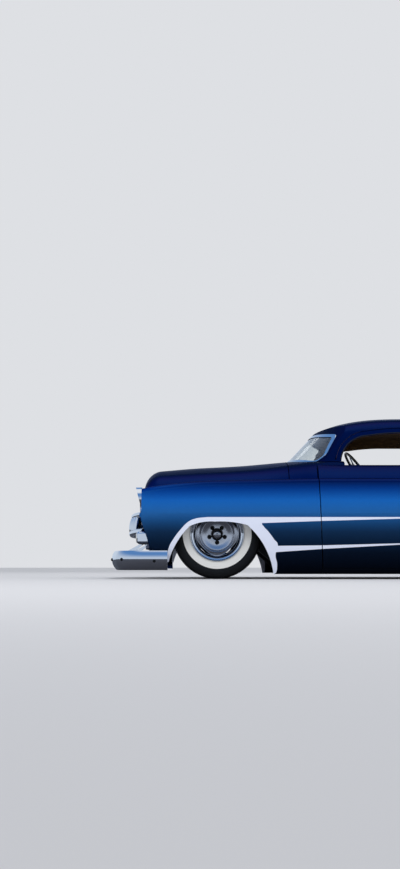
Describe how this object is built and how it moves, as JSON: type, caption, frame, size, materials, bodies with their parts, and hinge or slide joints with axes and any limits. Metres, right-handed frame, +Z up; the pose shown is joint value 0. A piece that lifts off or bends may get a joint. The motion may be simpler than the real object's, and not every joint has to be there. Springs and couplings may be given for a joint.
{
  "type": "hot rod car",
  "caption": "Lowered, chopped two-door hot rod with turning wheels, steering, opening doors, hood and boot lid.",
  "frame": {"origin": "on the ground under the middle of the car's length and width", "axes": "+X forward, +Y to the car's left, +Z up"},
  "size_m": [4.9668, 1.9072, 1.3102],
  "materials": {
    "paint_blue": "gloss metallic paint",
    "chrome": "polished",
    "glass": "clear",
    "frame_black": "satin",
    "tyre": "matt",
    "steel": "satin",
    "iron": "matt",
    "seat_vinyl": "smooth",
    "wheel_plastic": "gloss",
    "lens_red": "clear",
    "spring_rubber": "matt",
    "radiator_core": "matt black"
  },
  "bodies": {
    "root": {"chassis_frame": "frame_black", "floor_pan": "frame_black", "sill_left": "paint_blue", "sill_right": "paint_blue", "front_fender_left": "paint_blue", "front_fender_right": "paint_blue", "cowl": "paint_blue", "roof": "paint_blue", "quarter_panel_left": "paint_blue", "quarter_panel_right": "paint_blue", "rear_shelf": "paint_blue", "tail_panel": "paint_blue", "nose_panel": "paint_blue", "grille": "chrome", "headlamp_bezels": "chrome", "headlamp_lenses": "glass", "front_bumper": "chrome", "rear_bumper": "chrome", "windscreen": "glass", "rear_window": "glass", "quarter_glass": "glass", "windscreen_trim": "chrome", "rear_window_trim": "chrome", "dashboard": "paint_blue", "steering_column": "steel", "front_seat": "seat_vinyl", "rear_seat": "seat_vinyl", "engine": "iron", "gearbox_and_shaft": "steel", "inner_fenders": "frame_black", "radiator": "radiator_core", "exhaust": "steel", "fuel_tank": "frame_black", "rear_axle": "iron", "rear_springs_and_links": "spring_rubber", "front_suspension_arms": "frame_black", "rear_wheel_tubs": "frame_black", "tail_lamps": "lens_red"},
    "door_left": {"door_left": "paint_blue"},
    "door_right": {"door_right": "paint_blue"},
    "hood": {"hood": "paint_blue"},
    "boot_lid": {"boot_lid": "paint_blue"},
    "knuckle_left": {"knuckle_left": "iron"},
    "knuckle_right": {"knuckle_right": "iron"},
    "tie_rod": {"tie_rod": "steel"},
    "steering_wheel": {"steering_wheel": "wheel_plastic"},
    "wheel_front_left": {"rim_front_left": "chrome", "tyre_front_left": "tyre"},
    "wheel_front_right": {"rim_front_right": "chrome", "tyre_front_right": "tyre"},
    "wheel_rear_left": {"rim_rear_left": "chrome", "tyre_rear_left": "tyre"},
    "wheel_rear_right": {"rim_rear_right": "chrome", "tyre_rear_right": "tyre"}
  },
  "joints": [
    {"name": "door_left_hinge", "type": "hinge", "parent": "root", "child": "door_left", "pos_m": [0.886, 0.905, 0.43], "axis": [0, 0, -1], "range_deg": [0, 65]},
    {"name": "door_right_hinge", "type": "hinge", "parent": "root", "child": "door_right", "pos_m": [0.886, -0.905, 0.43], "axis": [0, 0, 1], "range_deg": [0, 65]},
    {"name": "hood_hinge", "type": "hinge", "parent": "root", "child": "hood", "pos_m": [0.94, 0, 0.94], "axis": [0, -1, 0], "range_deg": [0, 50]},
    {"name": "boot_lid_hinge", "type": "hinge", "parent": "root", "child": "boot_lid", "pos_m": [-1.426, 0, 0.915], "axis": [0, 1, 0], "range_deg": [0, 60]},
    {"name": "steer_left", "type": "hinge", "parent": "root", "child": "knuckle_left", "pos_m": [1.628, 0.592, 0.343], "axis": [0, 0, 1], "range_deg": [-22, 22]},
    {"name": "steer_right", "type": "hinge", "parent": "root", "child": "knuckle_right", "pos_m": [1.628, -0.592, 0.343], "axis": [0, 0, 1], "range_deg": [-22, 22]},
    {"name": "tie_rod_slide", "type": "slide", "parent": "root", "child": "tie_rod", "axis": [0, 1, 0], "range_m": [-0.047, 0.047]},
    {"name": "steering_wheel_turn", "type": "hinge", "parent": "root", "child": "steering_wheel", "pos_m": [0.461, 0.38, 0.833], "axis": [-0.8192, 0, 0.5736], "range_deg": [-265, 265]},
    {"name": "wheel_front_left_spin", "type": "hinge", "parent": "knuckle_left", "child": "wheel_front_left", "pos_m": [1.628, 0.69, 0.343], "axis": [0, 1, 0], "continuous": true},
    {"name": "wheel_front_right_spin", "type": "hinge", "parent": "knuckle_right", "child": "wheel_front_right", "pos_m": [1.628, -0.69, 0.343], "axis": [0, 1, 0], "continuous": true},
    {"name": "wheel_rear_left_spin", "type": "hinge", "parent": "root", "child": "wheel_rear_left", "pos_m": [-1.293, 0.74, 0.343], "axis": [0, 1, 0], "continuous": true},
    {"name": "wheel_rear_right_spin", "type": "hinge", "parent": "root", "child": "wheel_rear_right", "pos_m": [-1.293, -0.74, 0.343], "axis": [0, 1, 0], "continuous": true}
  ],
  "couplings": [
    {"joint": "steer_right", "follows": "steer_left", "ratio": 1},
    {"joint": "tie_rod_slide", "follows": "steer_left", "m_per_rad": -0.12},
    {"joint": "steering_wheel_turn", "follows": "steer_left", "ratio": 12}
  ]
}
